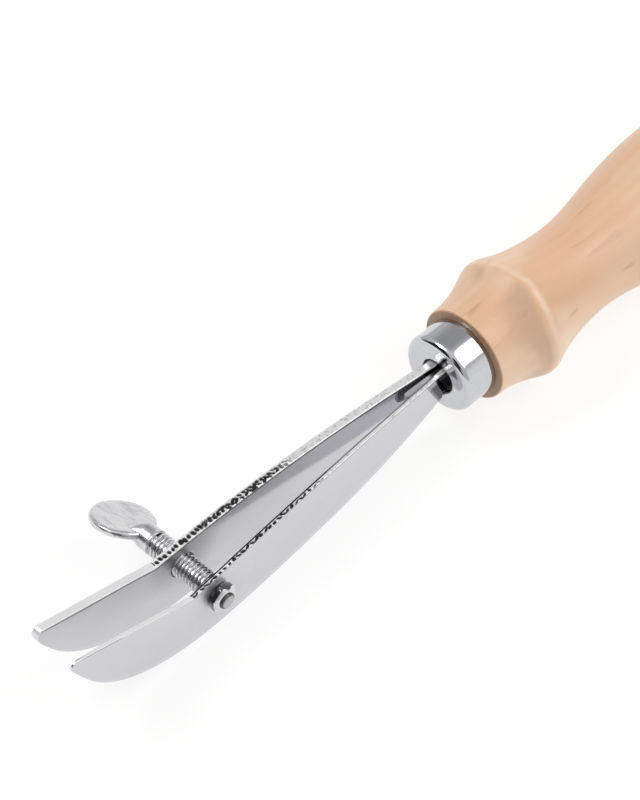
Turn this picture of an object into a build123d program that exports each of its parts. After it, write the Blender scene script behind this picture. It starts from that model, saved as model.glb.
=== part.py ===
from build123d import *

import math
import os

# Adjustable edge creaser: two sprung steel blades in a turned wooden handle, spread by a thumb screw.
# +X runs from the butt of the handle to the blade tips, +Y from the thumb paddle to the nut, +Z up.
# The origin is the centre of the flat on the handle's butt. All sizes are in millimetres.

# Handle
BUTT_FLAT_RADIUS = 4.5
BULB_RADIUS = 13.0
BULB_X = 17.0
WAIST_RADIUS = 9.4
WAIST_X = 49.0
RIDGE_RADIUS = 12.5
RIDGE_X = 66.4
RIDGE_ROUND = 3.0
RIDGE_SLOPE_ANGLE = 22.0
COLLAR_RADIUS = 9.6
COLLAR_EDGE_ROUND = 0.5
MOUTH_RECESS_DEPTH = 4.1

# Pull of the curves that join those sizes into the handle's profile
BUTT_PULL = (0.6, 10.5)
BULB_PULL_BACK_X = 8.0
BULB_PULL_FRONT_X = 33.5
WAIST_PULL_BACK_X = 40.0
WAIST_PULL_FRONT_X = 55.0
RIDGE_PULL_BACK = 4.5
RIDGE_PULL_FRONT = 3.0
COLLAR_PULL_X = 73.5

# Ferrule
FERRULE_FRONT_X = 86.0
FERRULE_LENGTH = 7.0
FERRULE_RADIUS = 8.0
FERRULE_WALL = 0.7
FERRULE_FACE = 0.9
FERRULE_EDGE_ROUND = 1.3
MOUTH_RADIUS = 3.9
MOUTH_LIP_ROUND = 0.35

# Blades: thickness, and half the gap between them from the root to the tips
NEAR_THICKNESS = 1.0
FAR_THICKNESS = 1.8
ROOT_HALF_GAP = 0.63
SHOULDER_HALF_GAP = 0.68
ARM_HALF_GAP = 2.65
SCREW_HALF_GAP = 4.0
KINK_HALF_GAP = 4.18
BEAK_HALF_GAP = 4.13
TIP_HALF_GAP = 4.03
# Blades, along the tool and in height
PIVOT_X = 83.0
PIVOT_CLEARANCE = 0.15
SHOULDER_X = 86.9
TANG_TOP = 2.2
TANG_BOTTOM = -2.8
HEEL_Z = -4.8
ARM_X = 117.0
ARM_TOP_X = 119.0
ARM_TOP_Z = 3.1
KINK_X = 152.5
KINK_TOP = 1.3
BEAK_X = 167.0
TIP_X = 180.25
# Nose of each blade: end of the top edge, foremost part, start of the belly
NEAR_NOSE = [(178.6, 9.28), (180.17, 8.47), (180.05, 7.33)]
FAR_NOSE = [(178.2, 8.76), (179.42, 7.85), (179.35, 6.35)]
# Lower edge of each blade, from the nose back to the heel; the far one is fuller below the screw
NEAR_BELLY = [(174.8, -0.9), (168.5, -6.2), (159.5, -9.8), (144.0, -11.4), (120.0, -10.4), (99.0, -7.9)]
FAR_BELLY = [(174.8, -0.9), (168.5, -6.4), (159.5, -10.8), (144.0, -12.5), (120.0, -10.4), (99.0, -7.9)]

# Filed notches along the top edge of each blade
NOTCH_START_X = 115.0
NOTCH_PITCH = 0.95
NOTCH_DEPTH = 0.38
NOTCH_WIDTH = 0.62
NOTCH_LEAD_IN = 0.2
NOTCH_LEAN_ANGLE = 14.0
NOTCH_LEAN_PHASE = 2.4

# Tangs and the spacer between them
TANG_START_X = 46.0
SPACER_TOP = 1.55
SPACER_NARROW_HALF = 0.40
SPACER_NOSE_HALF = 0.62
SPACER_NOSE_X = 94.3

# Thumb screw, M5 x 0.8, turned down to 3 mm for the nut
SCREW_X = 146.45
SCREW_Z = -3.14
THREAD_RADIUS = 2.5
THREAD_ROOT_RADIUS = 2.05
THREAD_PITCH = 0.8
THREAD_TURNS = 17
THREAD_FLANK = 0.44
STEM_RADIUS = 1.5
TAPPED_HOLE_RADIUS = 2.6
STEM_HOLE_RADIUS = 1.6
SHOULDER_GAP = 0.05
NECK_RING_RADIUS = 2.62
NECK_RING_LENGTH = 0.6
NECK_BLEND_BACK = 2.05
NECK_BLEND_FORWARD = 2.2
NECK_BLEND_INSET = 0.15
PADDLE_RADIUS = 6.2
PADDLE_THICKNESS = 1.5
PADDLE_EDGE_ROUND = 0.6
PADDLE_OVERLAP = 0.6
PADDLE_TILT = 25.0
PADDLE_BEND = 9.0
PADDLE_RISE = 0.46
PEEN_RADIUS = 1.65
PEEN_HEIGHT = 0.6
PEEN_ROUND = 0.36

# Thrust washer and M3 nut
ROCKING_GAP = 0.2
WASHER_RADIUS = 3.1
WASHER_THICKNESS = 0.8
WASHER_CHAMFER = 0.12
NUT_CORNER_RADIUS = 3.175
NUT_THICKNESS = 1.8
NUT_CHAMFER = 0.35
NUT_TURN = 19.5

# Places that follow from the sizes above
WASHER_OUT_Y = SCREW_HALF_GAP - ROCKING_GAP
WASHER_IN_Y = WASHER_OUT_Y - WASHER_THICKNESS
THREAD_END_Y = WASHER_IN_Y - SHOULDER_GAP
THREAD_START_Y = THREAD_END_Y - THREAD_TURNS * THREAD_PITCH
NUT_IN_Y = SCREW_HALF_GAP + NEAR_THICKNESS + ROCKING_GAP
NUT_OUT_Y = NUT_IN_Y + NUT_THICKNESS
FERRULE_BACK_X = FERRULE_FRONT_X - FERRULE_LENGTH
TENON_RADIUS = FERRULE_RADIUS - FERRULE_WALL
RECESS_FLOOR_X = FERRULE_FRONT_X - FERRULE_FACE - MOUTH_RECESS_DEPTH
REACH = 15.0


def box_between(low, high):
    """A box given by its two opposite corners."""
    size = [b - a for a, b in zip(low, high)]
    middle = [(a + b) / 2 for a, b in zip(low, high)]
    return Pos(*middle) * Box(*size)


def turned_about_x(lines):
    """The solid turned about the tool's axis from a closed outline drawn in the XY plane."""
    return revolve(make_face(lines), Axis.X)


def cylinder_along_y(radius, y_start, y_end):
    """A round bar or drill on the screw's axis."""
    length = y_end - y_start
    bar = Rot(90, 0, 0) * Cylinder(radius, length)
    return Pos(SCREW_X, (y_start + y_end) / 2, SCREW_Z) * bar


def make_handle():
    """Pear-shaped handle with a crisp ridge, a flared collar and a tenon for the ferrule."""
    tenon_end_x = FERRULE_FRONT_X - FERRULE_FACE
    lean = math.radians(RIDGE_SLOPE_ANGLE)
    slope = math.tan(lean)
    ridge_reach = RIDGE_ROUND * math.sin(lean)
    ridge_foot_radius = RIDGE_RADIUS - RIDGE_ROUND * (1 - math.cos(lean))
    ridge_back = (RIDGE_X - ridge_reach, ridge_foot_radius)
    ridge_front = (RIDGE_X + ridge_reach, ridge_foot_radius)
    butt = Bezier(
        (0, BUTT_FLAT_RADIUS),
        BUTT_PULL,
        (BULB_PULL_BACK_X, BULB_RADIUS),
        (BULB_X, BULB_RADIUS),
    )
    bulb = Bezier(
        (BULB_X, BULB_RADIUS),
        (BULB_PULL_FRONT_X, BULB_RADIUS),
        (WAIST_PULL_BACK_X, WAIST_RADIUS),
        (WAIST_X, WAIST_RADIUS),
    )
    neck = Bezier(
        (WAIST_X, WAIST_RADIUS),
        (WAIST_PULL_FRONT_X, WAIST_RADIUS),
        (ridge_back[0] - RIDGE_PULL_BACK, ridge_foot_radius - RIDGE_PULL_BACK * slope),
        ridge_back,
    )
    ridge = ThreePointArc(ridge_back, (RIDGE_X, RIDGE_RADIUS), ridge_front)
    collar = Bezier(
        ridge_front,
        (ridge_front[0] + RIDGE_PULL_FRONT, ridge_foot_radius - RIDGE_PULL_FRONT * slope),
        (COLLAR_PULL_X, COLLAR_RADIUS),
        (FERRULE_BACK_X, COLLAR_RADIUS),
    )
    front = Polyline(
        (FERRULE_BACK_X, COLLAR_RADIUS),
        (FERRULE_BACK_X, TENON_RADIUS),
        (tenon_end_x, TENON_RADIUS),
        (tenon_end_x, 0),
        (0, 0),
        (0, BUTT_FLAT_RADIUS),
    )
    body = turned_about_x(butt + bulb + neck + ridge + collar + front)
    rim = body.edges().filter_by(GeomType.CIRCLE).sort_by(lambda e: abs(e.radius - COLLAR_RADIUS))[0]
    body = fillet(rim, COLLAR_EDGE_ROUND)
    recess = Pos((RECESS_FLOOR_X + tenon_end_x) / 2, 0, 0) * Rot(0, 90, 0) * Cylinder(
        MOUTH_RADIUS, MOUTH_RECESS_DEPTH
    )
    slot = box_between(
        (TANG_START_X, -ROOT_HALF_GAP - FAR_THICKNESS, TANG_BOTTOM),
        (RECESS_FLOOR_X + 1, ROOT_HALF_GAP + NEAR_THICKNESS, TANG_TOP),
    )
    return body - recess - slot


def make_ferrule():
    """Deep-drawn cup with a rounded front edge and a round mouth for the blades."""
    inner_face_x = FERRULE_FRONT_X - FERRULE_FACE
    cup = turned_about_x(
        Polyline(
            (FERRULE_BACK_X, TENON_RADIUS),
            (FERRULE_BACK_X, FERRULE_RADIUS),
            (FERRULE_FRONT_X, FERRULE_RADIUS),
            (FERRULE_FRONT_X, MOUTH_RADIUS),
            (inner_face_x, MOUTH_RADIUS),
            (inner_face_x, TENON_RADIUS),
            (FERRULE_BACK_X, TENON_RADIUS),
        )
    )
    front_edges = cup.edges().filter_by(GeomType.CIRCLE).group_by(Axis.X)[-1].sort_by(SortBy.RADIUS)
    cup = fillet(front_edges[-1], FERRULE_EDGE_ROUND)
    front_edges = cup.edges().filter_by(GeomType.CIRCLE).group_by(Axis.X)[-1].sort_by(SortBy.RADIUS)
    return fillet(front_edges[0], MOUTH_LIP_ROUND)


def blade_side_outline(nose, belly):
    """Side view of a blade: shouldered root, bowed arm, and a tip that sweeps up to a round nose."""
    behind_root_x = PIVOT_X - FAR_THICKNESS
    lines = Polyline(
        (SHOULDER_X, HEEL_Z),
        (SHOULDER_X, TANG_BOTTOM),
        (behind_root_x, TANG_BOTTOM),
        (behind_root_x, TANG_TOP),
        (SHOULDER_X, TANG_TOP),
    )
    lines += ThreePointArc((SHOULDER_X, TANG_TOP), (ARM_TOP_X, ARM_TOP_Z), (KINK_X, KINK_TOP))
    lines += Line((KINK_X, KINK_TOP), nose[0])
    lines += ThreePointArc(*nose)
    lines += Spline(nose[-1], *belly, (SHOULDER_X, HEEL_Z))
    return Plane.XZ * make_face(lines)


def blade_plan_band(thickness):
    """Top view of the near blade: straight root, bowed arm and a tip that closes in a little."""
    tip_x = TIP_X + 1
    stations = [
        (SHOULDER_X, SHOULDER_HALF_GAP),
        (ARM_X, ARM_HALF_GAP),
        (SCREW_X, SCREW_HALF_GAP),
        (KINK_X, KINK_HALF_GAP),
        (BEAK_X, BEAK_HALF_GAP),
        (tip_x, TIP_HALF_GAP),
    ]
    inner = Spline(*stations)
    outer = Spline(*[(x, y + thickness) for x, y in stations])
    root_inner = (PIVOT_X, ROOT_HALF_GAP)
    root_outer = (PIVOT_X, ROOT_HALF_GAP + thickness)
    round_end = (PIVOT_X - thickness / 2, ROOT_HALF_GAP + thickness / 2)
    lines = inner + outer
    lines += Line((tip_x, TIP_HALF_GAP), (tip_x, TIP_HALF_GAP + thickness))
    lines += Line(root_inner, (SHOULDER_X, SHOULDER_HALF_GAP))
    lines += Line(root_outer, (SHOULDER_X, SHOULDER_HALF_GAP + thickness))
    lines += ThreePointArc(root_inner, round_end, root_outer)
    return make_face(lines)


def blade_notches():
    """Shallow V cuts filed across the top edge, each leaning a little more or less than the last."""
    count = int((KINK_X - NOTCH_START_X) / NOTCH_PITCH)
    outline = Polyline(
        (-NOTCH_WIDTH / 2, NOTCH_LEAD_IN),
        (0, -NOTCH_DEPTH),
        (NOTCH_WIDTH / 2, NOTCH_LEAD_IN),
        (-NOTCH_WIDTH / 2, NOTCH_LEAD_IN),
    )
    cutter = extrude(Plane.XZ * make_face(outline), REACH, both=True)
    cuts = []
    for index in range(count):
        x = NOTCH_START_X + (index + 0.5) * NOTCH_PITCH
        lean = NOTCH_LEAN_ANGLE * math.sin(NOTCH_LEAN_PHASE * index)
        cuts.append(Pos(x, 0, top_edge_height(x)) * Rot(0, 0, lean) * cutter)
    return cuts


def top_edge_height(x):
    """Height of the bowed top edge, a circular arc through the shoulder, its middle and the kink."""
    x1, x2, x3 = SHOULDER_X, ARM_TOP_X, KINK_X
    z1, z2, z3 = TANG_TOP, ARM_TOP_Z, KINK_TOP
    turn = 2 * (x1 * (z2 - z3) + x2 * (z3 - z1) + x3 * (z1 - z2))
    s1, s2, s3 = x1**2 + z1**2, x2**2 + z2**2, x3**2 + z3**2
    centre_x = (s1 * (z2 - z3) + s2 * (z3 - z1) + s3 * (z1 - z2)) / turn
    centre_z = (s1 * (x3 - x2) + s2 * (x1 - x3) + s3 * (x2 - x1)) / turn
    radius = math.hypot(x1 - centre_x, z1 - centre_z)
    return centre_z + math.sqrt(radius**2 - (x - centre_x) ** 2)


def make_blade(thickness, hole_radius, nose, belly):
    """A flat steel blade on the +Y side, bored parallel to Y for the screw."""
    side = extrude(blade_side_outline(nose, belly), REACH, both=True)
    band = extrude(blade_plan_band(thickness), REACH, both=True)
    blade = side & band
    blade -= blade_notches()
    return blade - cylinder_along_y(hole_radius, 0, REACH)


def make_far_blade():
    """The thicker blade with the tapped hole, on the paddle's side."""
    return mirror(make_blade(FAR_THICKNESS, TAPPED_HOLE_RADIUS, FAR_NOSE, FAR_BELLY), Plane.XZ)


def make_near_blade():
    """The thinner blade with the plain hole, on the nut's side."""
    return make_blade(NEAR_THICKNESS, STEM_HOLE_RADIUS, NEAR_NOSE, NEAR_BELLY)


def make_tang(thickness, side):
    """The fixed part of a blade inside the handle, ending just behind the moving blade's round root."""
    end_x = PIVOT_X - thickness / 2 - PIVOT_CLEARANCE
    near_y = side * ROOT_HALF_GAP
    far_y = side * (ROOT_HALF_GAP + thickness)
    return box_between(
        (TANG_START_X, min(near_y, far_y), TANG_BOTTOM),
        (end_x, max(near_y, far_y), TANG_TOP),
    )


def make_root_spacer():
    """Steel slip between the tangs, stepped thin past the pivot and ending in a short wedge."""
    step_x = PIVOT_X - FAR_THICKNESS / 2 - PIVOT_CLEARANCE
    half_outline = [
        (TANG_START_X, ROOT_HALF_GAP),
        (step_x, ROOT_HALF_GAP),
        (step_x, SPACER_NARROW_HALF),
        (SHOULDER_X, SPACER_NARROW_HALF),
        (SPACER_NOSE_X, SPACER_NOSE_HALF),
    ]
    mirrored = [(x, -y) for x, y in reversed(half_outline)]
    outline = make_face(Polyline(*half_outline, *mirrored, half_outline[0]))
    return Pos(0, 0, TANG_BOTTOM) * extrude(outline, SPACER_TOP - TANG_BOTTOM)


def make_thread():
    """The threaded length, with ring ridges at the thread's pitch."""
    outline = [(0, THREAD_START_Y), (THREAD_ROOT_RADIUS, THREAD_START_Y)]
    for turn in range(THREAD_TURNS):
        y = THREAD_START_Y + turn * THREAD_PITCH
        outline += [
            (THREAD_RADIUS, y + THREAD_FLANK * THREAD_PITCH),
            (THREAD_RADIUS, y + (1 - THREAD_FLANK) * THREAD_PITCH),
            (THREAD_ROOT_RADIUS, y + THREAD_PITCH),
        ]
    outline += [(0, THREAD_END_Y), (0, THREAD_START_Y)]
    return Pos(SCREW_X, 0, SCREW_Z) * revolve(make_face(Polyline(*outline)), Axis.Y)


def make_paddle():
    """Flattened round thumb piece, drawn lying level with its neck at the origin, along -Y."""
    disc = Cylinder(PADDLE_RADIUS, PADDLE_THICKNESS)
    disc = fillet(disc.edges().filter_by(GeomType.CIRCLE), PADDLE_EDGE_ROUND)
    disc = Pos(0, PADDLE_OVERLAP - PADDLE_RADIUS, 0) * disc
    return Rot(PADDLE_BEND, 0, 0) * disc


def make_thumb_screw():
    """Paddle, neck, thread, turned-down stem and peened end in one forging."""
    ring_start_y = THREAD_START_Y - NECK_RING_LENGTH
    ring = cylinder_along_y(NECK_RING_RADIUS, ring_start_y, THREAD_START_Y)
    paddle_y = ring_start_y - NECK_BLEND_BACK
    place = Pos(SCREW_X, paddle_y, SCREW_Z + PADDLE_RISE) * Rot(0, -PADDLE_TILT, 0)
    round_section = Plane.XZ * Circle(NECK_RING_RADIUS - NECK_BLEND_INSET)
    round_end = Pos(SCREW_X, ring_start_y, SCREW_Z) * round_section
    flat_section = Plane.XZ * Ellipse(NECK_RING_RADIUS, PADDLE_THICKNESS / 2 - NECK_BLEND_INSET)
    flat_end = place * Rot(PADDLE_BEND, 0, 0) * Pos(0, -NECK_BLEND_FORWARD, 0) * flat_section
    head = place * make_paddle() + loft([round_end, flat_end])
    stem = cylinder_along_y(STEM_RADIUS, THREAD_END_Y, NUT_OUT_Y)
    peen = cylinder_along_y(PEEN_RADIUS, NUT_OUT_Y, NUT_OUT_Y + PEEN_HEIGHT)
    peen = fillet(peen.edges().filter_by(GeomType.CIRCLE).sort_by(Axis.Y)[-1], PEEN_ROUND)
    return head + ring + make_thread() + stem + peen


def make_thrust_washer():
    """Shoulder washer between the thread and the near blade."""
    outer = cylinder_along_y(WASHER_RADIUS, WASHER_IN_Y, WASHER_OUT_Y)
    outer = chamfer(outer.edges().filter_by(GeomType.CIRCLE), WASHER_CHAMFER)
    return outer - cylinder_along_y(STEM_HOLE_RADIUS, WASHER_IN_Y, WASHER_OUT_Y)


def make_retaining_nut():
    """Thin hexagon nut with chamfered corners, locked by the peened end of the screw."""
    hexagon = Plane.XZ * RegularPolygon(NUT_CORNER_RADIUS, 6)
    prism = extrude(hexagon, NUT_THICKNESS / 2, both=True)
    prism = Pos(SCREW_X, (NUT_IN_Y + NUT_OUT_Y) / 2, SCREW_Z) * Rot(0, -NUT_TURN, 0) * prism
    round_blank = cylinder_along_y(NUT_CORNER_RADIUS, NUT_IN_Y, NUT_OUT_Y)
    outer_edge = round_blank.edges().filter_by(GeomType.CIRCLE).sort_by(Axis.Y)[-1]
    round_blank = chamfer(outer_edge, NUT_CHAMFER)
    return (prism & round_blank) - cylinder_along_y(STEM_RADIUS, NUT_IN_Y, NUT_OUT_Y)


PARTS = {
    "handle": make_handle(),
    "ferrule": make_ferrule(),
    "far_tang": make_tang(FAR_THICKNESS, -1),
    "near_tang": make_tang(NEAR_THICKNESS, 1),
    "root_spacer": make_root_spacer(),
    "far_blade": make_far_blade(),
    "near_blade": make_near_blade(),
    "thrust_washer": make_thrust_washer(),
    "thumb_screw": make_thumb_screw(),
    "retaining_nut": make_retaining_nut(),
}

os.makedirs("parts", exist_ok=True)
for node, shape in PARTS.items():
    export_step(shape, f"parts/{node}.step")
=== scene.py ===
import math

import bmesh
import bpy
from mathutils import Matrix, Vector


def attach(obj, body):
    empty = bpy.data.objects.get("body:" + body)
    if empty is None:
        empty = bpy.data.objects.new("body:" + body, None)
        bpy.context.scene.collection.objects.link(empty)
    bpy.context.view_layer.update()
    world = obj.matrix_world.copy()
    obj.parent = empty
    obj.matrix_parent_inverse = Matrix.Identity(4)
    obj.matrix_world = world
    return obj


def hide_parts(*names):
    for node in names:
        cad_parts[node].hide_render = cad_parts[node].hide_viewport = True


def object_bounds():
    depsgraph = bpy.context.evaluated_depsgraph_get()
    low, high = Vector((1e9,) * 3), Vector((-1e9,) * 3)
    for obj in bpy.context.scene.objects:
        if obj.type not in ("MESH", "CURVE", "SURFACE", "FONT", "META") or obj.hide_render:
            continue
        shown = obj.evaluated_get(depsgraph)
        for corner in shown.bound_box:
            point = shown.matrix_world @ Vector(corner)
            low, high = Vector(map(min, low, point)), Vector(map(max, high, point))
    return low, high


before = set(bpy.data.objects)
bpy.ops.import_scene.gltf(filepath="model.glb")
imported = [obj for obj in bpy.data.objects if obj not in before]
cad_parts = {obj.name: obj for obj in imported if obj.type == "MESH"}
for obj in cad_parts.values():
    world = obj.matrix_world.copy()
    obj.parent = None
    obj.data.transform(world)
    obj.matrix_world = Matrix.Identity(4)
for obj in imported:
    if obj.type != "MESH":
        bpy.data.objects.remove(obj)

cad_low, cad_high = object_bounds()

MM = 0.001

# Sizes are in millimetres, in the part's own axes: +X to the blade tips, +Y to the nut, +Z up.
# Materials, lights and the camera work in metres.
FERRULE_FRONT_X = 86.0
BLADE_START_X = 82.2
SHOULDER_X = 86.15
KINK_X = 152.5
KINK_TOP = 1.3
FAR_THICKNESS = 1.8
NEAR_THICKNESS = 1.0
BLADE_SHARP_ANGLE = 52.0
SCREW_X = 146.45
SCREW_Z = -3.14

# The two blades, named by the side of the tool they are on.
NEAR, FAR = 1, -1

# Inner face of a blade, as (x, distance from the middle of the gap).
BLADE_STATIONS = [
    (86.15, 0.66),
    (117.0, 2.65),
    (146.45, 4.0),
    (152.5, 4.18),
    (167.0, 4.13),
    (181.4, 4.03),
]
# Lower edge of a blade from its shoulder to its nose, as (x, z).
BLADE_BELLY = [
    (86.15, -4.55),
    (99.0, -7.9),
    (120.0, -10.4),
    (144.0, -11.4),
    (159.5, -9.8),
    (168.5, -6.2),
    (174.8, -0.9),
    (179.9, 7.1),
]


# ---------------------------------------------------------------- mesh helpers


def unit(value):
    """The value, held between 0 and 1."""
    return min(1.0, max(0.0, value))


def make_object(name, verts, faces, sharp_angle):
    """A smooth-shaded mesh object from points in millimetres."""
    mesh = bpy.data.meshes.new(name)
    mesh.from_pydata([(x * MM, y * MM, z * MM) for x, y, z in verts], [], faces)
    mesh.validate()
    mesh.shade_smooth()
    mesh.set_sharp_from_angle(angle=math.radians(sharp_angle))
    obj = bpy.data.objects.new(name, mesh)
    bpy.context.scene.collection.objects.link(obj)
    return obj


def fix_normals(obj, merge=True):
    """Turns every face of a closed mesh outwards."""
    bm = bmesh.new()
    bm.from_mesh(obj.data)
    if merge:
        bmesh.ops.remove_doubles(bm, verts=bm.verts, dist=1e-7)
    bmesh.ops.recalc_face_normals(bm, faces=bm.faces)
    bm.to_mesh(obj.data)
    bm.free()


def paint(obj, label, values):
    """Stores one value for each vertex, for the materials to read."""
    layer = obj.data.attributes.new(label, "FLOAT", "POINT")
    layer.data.foreach_set("value", values)


def make_solid(name, verts, faces, sharp_angle, painted_shade=None):
    """A closed mesh with its faces outwards, and the painted shade of each vertex where that varies.
    """
    obj = make_object(name, verts, faces, sharp_angle)
    if painted_shade:
        paint(obj, "painted_shade", painted_shade)
    fix_normals(obj)
    obj.data.set_sharp_from_angle(angle=math.radians(sharp_angle))
    return obj


def add_ring(verts, points):
    """Adds the points to the list and returns their numbers."""
    start = len(verts)
    verts.extend(points)
    return list(range(start, len(verts)))


def bridge(rings):
    """Faces between neighbouring rings of vertex numbers. A ring of one vertex is a point."""
    faces = []
    for a, b in zip(rings, rings[1:]):
        size = max(len(a), len(b))
        for k in range(size):
            n = (k + 1) % size
            corners = [a[k % len(a)], a[n % len(a)], b[n % len(b)], b[k % len(b)]]
            faces.append(list(dict.fromkeys(corners)))
    return [face for face in faces if len(face) > 2]


def angles(count):
    """Angles in radians, evenly round a circle."""
    return [2 * math.pi * k / count for k in range(count)]


def bezier(p0, p1, p2, p3, count):
    """Points along a cubic curve, without its last point."""
    points = []
    for i in range(count):
        t = i / count
        a, b, c, d = (1 - t) ** 3, 3 * t * (1 - t) ** 2, 3 * t * t * (1 - t), t**3
        along = a * p0[0] + b * p1[0] + c * p2[0] + d * p3[0]
        across = a * p0[1] + b * p1[1] + c * p2[1] + d * p3[1]
        points.append((along, across))
    return points


def arc(centre, radius, start_deg, end_deg, count):
    """Points on a circle, both ends included."""
    points = []
    for i in range(count + 1):
        a = math.radians(start_deg + (end_deg - start_deg) * i / count)
        points.append((centre[0] + radius * math.cos(a), centre[1] + radius * math.sin(a)))
    return points


def interpolate(stations):
    """A smooth function y(x) through the stations (natural cubic spline)."""
    xs = [p[0] for p in stations]
    ys = [p[1] for p in stations]
    n = len(xs)
    h = [xs[i + 1] - xs[i] for i in range(n - 1)]
    lower, diag, upper, right = [0.0] * n, [1.0] * n, [0.0] * n, [0.0] * n
    for i in range(1, n - 1):
        lower[i], upper[i] = h[i - 1], h[i]
        diag[i] = 2 * (h[i - 1] + h[i])
        right[i] = 6 * ((ys[i + 1] - ys[i]) / h[i] - (ys[i] - ys[i - 1]) / h[i - 1])
    for i in range(1, n):
        w = lower[i] / diag[i - 1]
        diag[i] -= w * upper[i - 1]
        right[i] -= w * right[i - 1]
    m = [0.0] * n
    for i in range(n - 2, 0, -1):
        m[i] = (right[i] - upper[i] * m[i + 1]) / diag[i]

    def value(x):
        k = max(0, min(n - 2, sum(1 for q in xs if q <= x) - 1))
        a, b = (xs[k + 1] - x) / h[k], (x - xs[k]) / h[k]
        bend = ((a**3 - a) * m[k] + (b**3 - b) * m[k + 1]) * h[k] ** 2 / 6
        return a * ys[k] + b * ys[k + 1] + bend

    return value


def lathe(name, profile, segments, along="X", sharp_angle=40.0, close=False):
    """Turns a profile of (place along the axis, radius) about the X axis, or about the screw's."""
    verts, rings = [], []
    for position, radius in profile:
        turned = angles(segments) if radius > 0 else [0.0]
        points = []
        for a in turned:
            side, up = radius * math.sin(a), radius * math.cos(a)
            if along == "X":
                points.append((position, side, up))
            else:
                points.append((SCREW_X + side, position, SCREW_Z + up))
        rings.append(add_ring(verts, points))
    if close:
        rings.append(rings[0])
    return make_solid(name, verts, bridge(rings), sharp_angle)


def hashed(n):
    """A steady number from 0 to 1 for each whole number."""
    return (math.sin(n * 127.1 + 11.7) * 43758.5453) % 1.0


# ---------------------------------------------------------------- node helpers


def is_output(source):
    """Whether this is a (node, output) pair and not a plain value."""
    return isinstance(source, tuple) and hasattr(source[0], "outputs")


class Tree:
    """A short way to write a node tree. Its methods return (node, output) pairs."""

    def __init__(self, tree):
        self.tree = tree
        self.tree.nodes.clear()

    def add(self, kind, **settings):
        node = self.tree.nodes.new(kind)
        for key, value in settings.items():
            setattr(node, key, value)
        return node

    def put(self, source, node, socket):
        """Links a (node, output) pair to the socket, or sets a plain value on it."""
        if is_output(source):
            self.tree.links.new(source[0].outputs[source[1]], node.inputs[socket])
        else:
            node.inputs[socket].default_value = source

    def math(self, operation, a, b=0.0):
        node = self.add("ShaderNodeMath", operation=operation)
        self.put(a, node, 0)
        self.put(b, node, 1)
        return (node, "Value")

    def span(self, source, low, high, to_low=0.0, to_high=1.0, interpolation="LINEAR"):
        node = self.add("ShaderNodeMapRange", interpolation_type=interpolation)
        self.put(source, node, "Value")
        node.inputs["From Min"].default_value = low
        node.inputs["From Max"].default_value = high
        node.inputs["To Min"].default_value = to_low
        node.inputs["To Max"].default_value = to_high
        return (node, "Result")

    def mix(self, factor, a, b):
        node = self.add("ShaderNodeMix", data_type="RGBA")
        self.put(factor, node, 0)
        self.put(a if is_output(a) else (*a, 1.0), node, 6)
        self.put(b if is_output(b) else (*b, 1.0), node, 7)
        return (node, 2)


class Material(Tree):
    """A material with one principled shader, textured by place on the piece."""

    def __init__(self, name, metallic=0.0):
        self.material = bpy.data.materials.new(name)
        self.material.use_nodes = True
        super().__init__(self.material.node_tree)
        self.shader = self.add("ShaderNodeBsdfPrincipled")
        out = self.add("ShaderNodeOutputMaterial")
        self.put((self.shader, 0), out, "Surface")
        self.position = (self.add("ShaderNodeTexCoord"), "Object")
        self.shader.inputs["Metallic"].default_value = metallic

    def set(self, **values):
        """Sets or links the shader's sockets, given by name with _ for each space."""
        for socket, source in values.items():
            self.put(source, self.shader, socket.replace("_", " "))

    def noise(self, scale, detail, roughness=0.55, distortion=0.0, turn=(0.0, 0.0, 0.0)):
        """Noise with its own scale along each axis."""
        mapping = self.add("ShaderNodeMapping")
        self.put(self.position, mapping, "Vector")
        mapping.inputs["Scale"].default_value = scale
        mapping.inputs["Rotation"].default_value = turn
        node = self.add("ShaderNodeTexNoise")
        self.put((mapping, "Vector"), node, "Vector")
        node.inputs["Scale"].default_value = 1.0
        node.inputs["Detail"].default_value = detail
        node.inputs["Roughness"].default_value = roughness
        node.inputs["Distortion"].default_value = distortion
        return (node, "Fac")

    def axis(self, name):
        node = self.add("ShaderNodeSeparateXYZ")
        self.put(self.position, node, "Vector")
        return (node, name)

    def reach(self, first, first_place, second, second_place):
        """Distance from a line that crosses two axes at these places."""
        squares = []
        for name, place in ((first, first_place), (second, second_place)):
            off = self.math("SUBTRACT", self.axis(name), place)
            squares.append(self.math("MULTIPLY", off, off))
        return self.math("SQRT", self.math("ADD", *squares))

    def attribute(self, name):
        return (self.add("ShaderNodeAttribute", attribute_name=name), "Fac")

    def bump(self, height, strength, distance, after=None):
        node = self.add("ShaderNodeBump")
        self.put(height, node, "Height")
        node.inputs["Strength"].default_value = strength
        node.inputs["Distance"].default_value = distance
        if after:
            self.put(after, node, "Normal")
        return (node, "Normal")


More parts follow.
